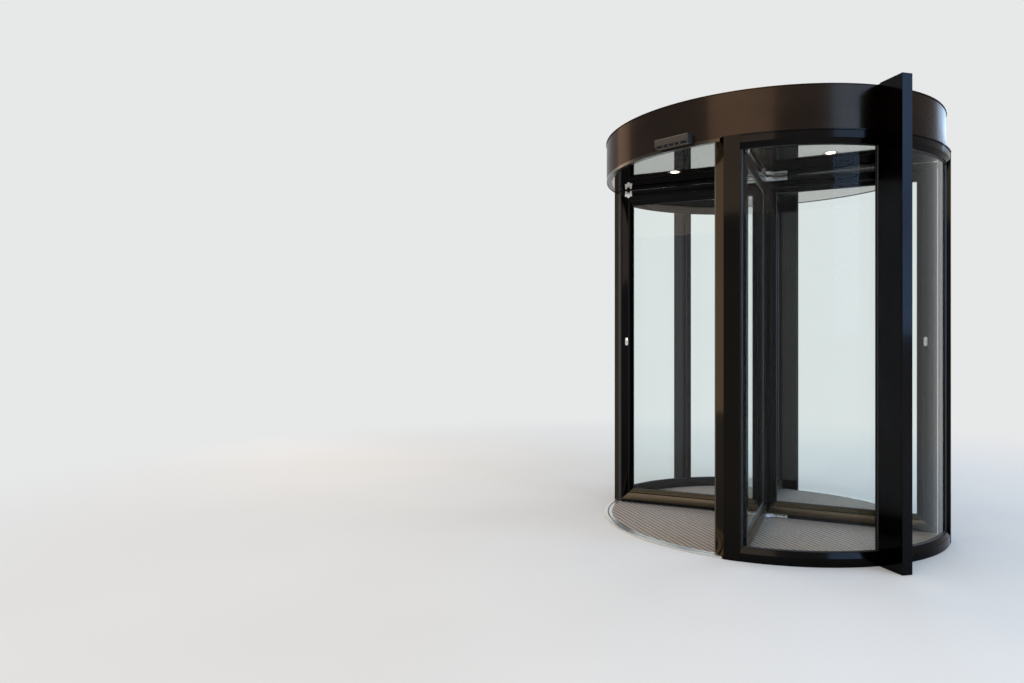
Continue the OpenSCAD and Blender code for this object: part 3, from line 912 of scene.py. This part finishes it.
# Wing brushes
# Black nylon bristles crimped in a channel below and above each wing, and a rubber
# strip down its outer edge. They close the gaps to the mat, ceiling and wall.

bristle_random = random.Random(12)
seal_u0 = wing_corner("wing_1_seals", wing_turns[0])[0][0]
channel_h = 0.006
channel_v = 0.0058
tuft_pitch = 0.0026
tuft_w = tuft_pitch * 0.96
tuft_count = math.floor((wing_u1 - seal_u0) / tuft_pitch)
tuft_bend = 0.0003
tuft_wear = 0.0004
brush_foot = mat_top + 0.0016
brush_head = ceiling_foot - 0.0009


def tuft(u, root_z, tip_z):
    """A flat bundle of bristles, a little bent and uneven at its tip."""
    bend = bristle_random.gauss(0, tuft_bend)
    short = abs(bristle_random.gauss(0, tuft_wear)) * (1 if tip_z < root_z else -1)
    rings = []
    for z, half, across, shift in ((root_z, tuft_w * 0.50, 0.0030, 0),
                                   ((root_z + tip_z) / 2, tuft_w * 0.50, 0.0036, bend * 0.4),
                                   (tip_z + short, tuft_w * 0.47, 0.0046, bend)):
        rings.append([(u - half + shift, -across, z), (u + half + shift, -across, z),
                      (u + half + shift, across, z), (u - half + shift, across, z)])
    return loft(rings)


bristles = black_rubber("bristles", 0.006, 0.6, 0.16)
channels = [block(seal_u0, wing_u1, -channel_v, channel_v, z0, z1)
            for z0, z1 in ((wing_foot - channel_h, wing_foot - fit_gap),
                           (wing_head + fit_gap, wing_head + channel_h))]
for i, turn in enumerate(wing_turns):
    tufts = []
    for k in range(tuft_count):
        u = seal_u0 + (k + 0.5) * (wing_u1 - seal_u0) / tuft_count
        tufts.append(tuft(u, wing_foot - channel_h, brush_foot))
        tufts.append(tuft(u, wing_head + channel_h, brush_head))
    brush = make_piece(f"wing_{i + 1}_brushes", on_wings(tufts + channels, (turn,)),
                       bristles, "rotor", 25)
    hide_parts(f"wing_{i + 1}_seals")

wall_play = 0.0022
strip_tip = wall_r - rail_depth - wall_play
strip_half = [(wing_u1 + fit_gap, 0.0060), (wing_u1 + 0.0040, 0.0060),
              (wing_u1 + 0.0060, 0.0034), (strip_tip - 0.0030, 0.0026),
              (strip_tip - 0.0006, 0.0014)]
strip_outline = ([(u, -v) for u, v in strip_half] + [(strip_tip, 0.0)]
                 + list(reversed(strip_half)))
strip_foot, strip_head = brush_foot + 0.001, brush_head - 0.0025
edge_strip = loft([[(u, v, z) for u, v in strip_outline] for z in (strip_foot, strip_head)])
make_piece("wing_edge_strips", on_wings([edge_strip]), gasket_rubber, "rotor",
           40)


# Locks
# A long rounded escutcheon with a key cylinder on both faces of two opposite wings,
# at hand height. Satin chrome, fixed by two small screws.

lock_turns = (wing_turns[0], wing_turns[2])
lock_u = wing_u1 - 0.042
lock_z = 1.170
lock_half_w = 0.011
lock_half_h = 0.029
plate_t = 0.005
lock_screw_z = 0.0215
cylinder_r = 0.008
nose = 0.004
nose_top = plate_t + nose


def stadium(half_w, half_h, sides=12):
    """Points round an upright slot with round ends."""
    ring = []
    for end in (1, -1):
        for k in range(sides + 1):
            turn = math.pi * k / sides + (0 if end > 0 else math.pi)
            ring.append((half_w * math.cos(turn),
                         end * (half_h - half_w) + half_w * math.sin(turn)))
    return ring


plate = loft([[(x, y, rise) for x, y in stadium(lock_half_w - inset, lock_half_h - inset)]
              for inset, rise in ((0, 0), (0, plate_t * 0.6), (0.0007, plate_t * 0.86),
                                  (0.0020, plate_t))])
barrel = lathe([(cylinder_r, plate_t - 0.001), (cylinder_r, plate_t + nose * 0.7),
                (cylinder_r - 0.0008, nose_top), (cylinder_r - 0.0026, nose_top),
                (cylinder_r - 0.0029, nose_top - 0.0004), (0.0046, nose_top - 0.0004),
                (0.0044, nose_top)], 36)
keyway = loft([[(x, y, z) for x, y in stadium(0.0008, 0.0032, 6)]
               for z in (nose_top - 0.001, nose_top + 0.0001)])
lock_shells, cylinder_shells, keyway_shells = [], [], []
for side in (-1, 1):
    at = Matrix.Translation((lock_u, side * (wing_v1 + fit_gap), lock_z)) @ facing(side)
    for end in (-1, 1):
        lock_shells.append(placed(socket_screw(radius=0.0024, head=0.0006, sides=18),
                                  at @ Matrix.Translation((0, end * lock_screw_z, plate_t))))
    lock_shells.append(placed(plate, at))
    cylinder_shells.append(placed(barrel, at))
    keyway_shells.append(placed(keyway, at))
locks = make_piece("lock_escutcheons", on_wings(lock_shells, lock_turns),
                   brushed_metal("satin_chrome", (0.72, 0.72, 0.73), 0.25, 120, (1, 1, 30)),
                   "rotor", 30)
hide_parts("wing_locks")
make_piece("lock_cylinders", on_wings(cylinder_shells, lock_turns),
           brushed_metal("cylinder_metal", (0.78, 0.74, 0.66), 0.18, 260),
           "rotor", 30)
# The keyways are thin dark matt slivers on the cylinder faces: painted shade for the key slots.
make_piece("lock_keyways", on_wings(keyway_shells, lock_turns),
           black_rubber("keyway_painted_shade", 0.004, 0.7), "rotor")


# Catches
# A small cast plate at the top outer corner of each wing, with two lugs, a rounded
# tail and a knob. Turned, it lets the wing go from its carrier. Bright steel.

catch_u = wing_u1 - 0.056
catch_half = 0.027
catch_top = 0.034
catch_rise = 0.018
catch_foot = wing_head + catch_rise - catch_top
catch_corner = 0.0015
tail_r = 0.0108
lug_x = 0.01728
lug_r = 0.00675
notch_x = 0.0088
notch_y = catch_top - 0.005


def round_end(x, y, radius, start, sweep, steps=8):
    """Points of a round end, from a direction on through a sweep, in degrees."""
    turns = [math.radians(start + sweep * k / steps) for k in range(steps + 1)]
    return [(x + radius * math.cos(turn), y + radius * math.sin(turn)) for turn in turns]


catch_outline = round_end(0, 0, tail_r, 180, 180)
catch_outline += [(catch_half - catch_corner, 0), (catch_half, catch_corner)]
catch_outline += round_end(lug_x, catch_top, lug_r, -10, 200)
catch_outline += [(notch_x, notch_y), (-notch_x, notch_y)]
catch_outline += round_end(-lug_x, catch_top, lug_r, -10, 200)
catch_outline += [(-catch_half, catch_corner), (-catch_half + catch_corner, 0)]
catch_at = Matrix.Translation((catch_u, wing_v1 + fit_gap, catch_foot)) @ Matrix((
    (1, 0, 0, 0), (0, 0, 1, 0), (0, 1, 0, 0), (0, 0, 0, 1)))
centre_y = 0.014
catch_plate = loft([[(x * shrink, centre_y + (y - centre_y) * shrink, rise)
                     for x, y in catch_outline]
                    for shrink, rise in ((1.0, 0), (1.0, 0.0038), (0.97, 0.0047),
                                         (0.92, 0.005))])
pin = lathe([(0.0047, 0.004), (0.0047, 0.0062), (0.0038, 0.007)], 20)
knob = lathe([(0.0102, 0.004), (0.0102, 0.0072), (0.0096, 0.0084), (0.0080, 0.0090),
              (0.0058, 0.0090), (0.0052, 0.0086), (0.0020, 0.0086)], 36)
catch_shells = [placed(shell, catch_at @ Matrix.Translation((x, y, 0)))
                for shell, x, y in ((catch_plate, 0, 0), (pin, -lug_x, catch_top),
                                    (pin, lug_x, catch_top), (knob, 0, catch_top / 2))]
catches = make_piece("catch_plates", on_wings(catch_shells),
                     brushed_metal("catch_metal", (0.80, 0.79, 0.77), 0.2, 200),
                     "rotor", 30)
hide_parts("wing_catches")


# The studio
# A plain pale floor that fades into an even pale sky, with large soft boxes: warm
# from the lobby, cool from the street and white from above.

sky_tone = (0.80, 0.805, 0.81)
floor_half = 30
floor_z = -0.0006

paving = bpy.data.meshes.new("studio_floor")
paving.from_pydata([(x * floor_half, y * floor_half, floor_z)
                    for x, y in ((-1, -1), (1, -1), (1, 1), (-1, 1))], [], [(0, 1, 2, 3)])
floor_paint, floor_tree, floor_shader = start_finish("floor_paint", 0.0, 0.9)
floor_shader.inputs["Specular IOR Level"].default_value = 0.15
tinted(floor_tree, floor_shader, cloud(floor_tree, 0.6, 2), (0.68, 0.655, 0.61),
       (0.71, 0.685, 0.64), 0.35, 0.65)
from_door = floor_tree.nodes.new("ShaderNodeTexCoord")
distance = floor_tree.nodes.new("ShaderNodeVectorMath")
distance.operation = "LENGTH"
fade = floor_tree.nodes.new("ShaderNodeMapRange")
fade.interpolation_type = "SMOOTHSTEP"
fade.inputs["From Min"].default_value = 1.7
fade.inputs["From Max"].default_value = 6.5
backdrop = floor_tree.nodes.new("ShaderNodeEmission")
backdrop.inputs["Color"].default_value = (*sky_tone, 1)
blend = floor_tree.nodes.new("ShaderNodeMixShader")
floor_tree.links.new(from_door.outputs["Object"], distance.inputs[0])
floor_tree.links.new(distance.outputs["Value"], fade.inputs["Value"])
floor_tree.links.new(fade.outputs["Result"], blend.inputs["Fac"])
floor_tree.links.new(floor_shader.outputs[0], blend.inputs[1])
floor_tree.links.new(backdrop.outputs[0], blend.inputs[2])
floor_tree.links.new(blend.outputs[0], floor_tree.nodes["Material Output"].inputs["Surface"])
paving.materials.append(floor_paint)
floor = bpy.data.objects.new("studio_floor", paving)
bpy.context.scene.collection.objects.link(floor)

sky = bpy.data.worlds.new("studio_sky")
bpy.context.scene.world = sky
sky.use_nodes = True
sky_tree = sky.node_tree
ambient = sky_tree.nodes["Background"]
ambient.inputs["Color"].default_value = (0.88, 0.92, 1.0, 1)
ambient.inputs["Strength"].default_value = 0.62
seen = sky_tree.nodes.new("ShaderNodeBackground")
seen.inputs["Color"].default_value = (*sky_tone, 1)
seen.inputs["Strength"].default_value = 1.0
rays = sky_tree.nodes.new("ShaderNodeLightPath")
sees_sky = rays.outputs["Is Camera Ray"]
for ray in ("Is Transmission Ray", "Is Glossy Ray"):
    either = sky_tree.nodes.new("ShaderNodeMath")
    either.operation = "MAXIMUM"
    sky_tree.links.new(sees_sky, either.inputs[0])
    sky_tree.links.new(rays.outputs[ray], either.inputs[1])
    sees_sky = either.outputs[0]
pick = sky_tree.nodes.new("ShaderNodeMixShader")
sky_tree.links.new(sees_sky, pick.inputs["Fac"])
sky_tree.links.new(ambient.outputs[0], pick.inputs[1])
sky_tree.links.new(seen.outputs[0], pick.inputs[2])
sky_tree.links.new(pick.outputs[0], sky_tree.nodes["World Output"].inputs["Surface"])


def soft_box(name, place, aim, size, power, tone):
    """A large rectangular lamp that looks at a point and isn't seen through glass."""
    lamp = bpy.data.lights.new(name, "AREA")
    lamp.shape = "RECTANGLE"
    lamp.size, lamp.size_y = size
    lamp.energy = power
    lamp.color = tone
    lamp_object = bpy.data.objects.new(name, lamp)
    lamp_object.location = place
    lamp_object.visible_transmission = False
    lamp_object.rotation_euler = (Vector(aim) - Vector(place)).to_track_quat(
        "-Z", "Y").to_euler()
    bpy.context.scene.collection.objects.link(lamp_object)


soft_box("lobby_box", (5.2, -5.7, 4.3), (0.6, -0.7, 1.6), (5.5, 2.6), 115,
         (1.0, 0.80, 0.60))
soft_box("panel_box", (-4.8, -3.9, 2.45), (0.7, -0.8, 1.8), (1.8, 4.6), 75,
         (1.0, 0.74, 0.46))
soft_box("side_box", (6.4, 3.0, 3.2), (0.6, 0, 1.6), (5.0, 4.0), 290, (0.30, 0.58, 1.0))
soft_box("street_box", (-3.6, 6.4, 5.4), (0, 0, 1.8), (7.0, 2.8), 230, (0.46, 0.70, 1.0))
soft_box("sky_box", (0.5, -1.0, 6.5), (0, 0, 1.0), (6.0, 6.0), 170, (1.0, 0.98, 0.95))
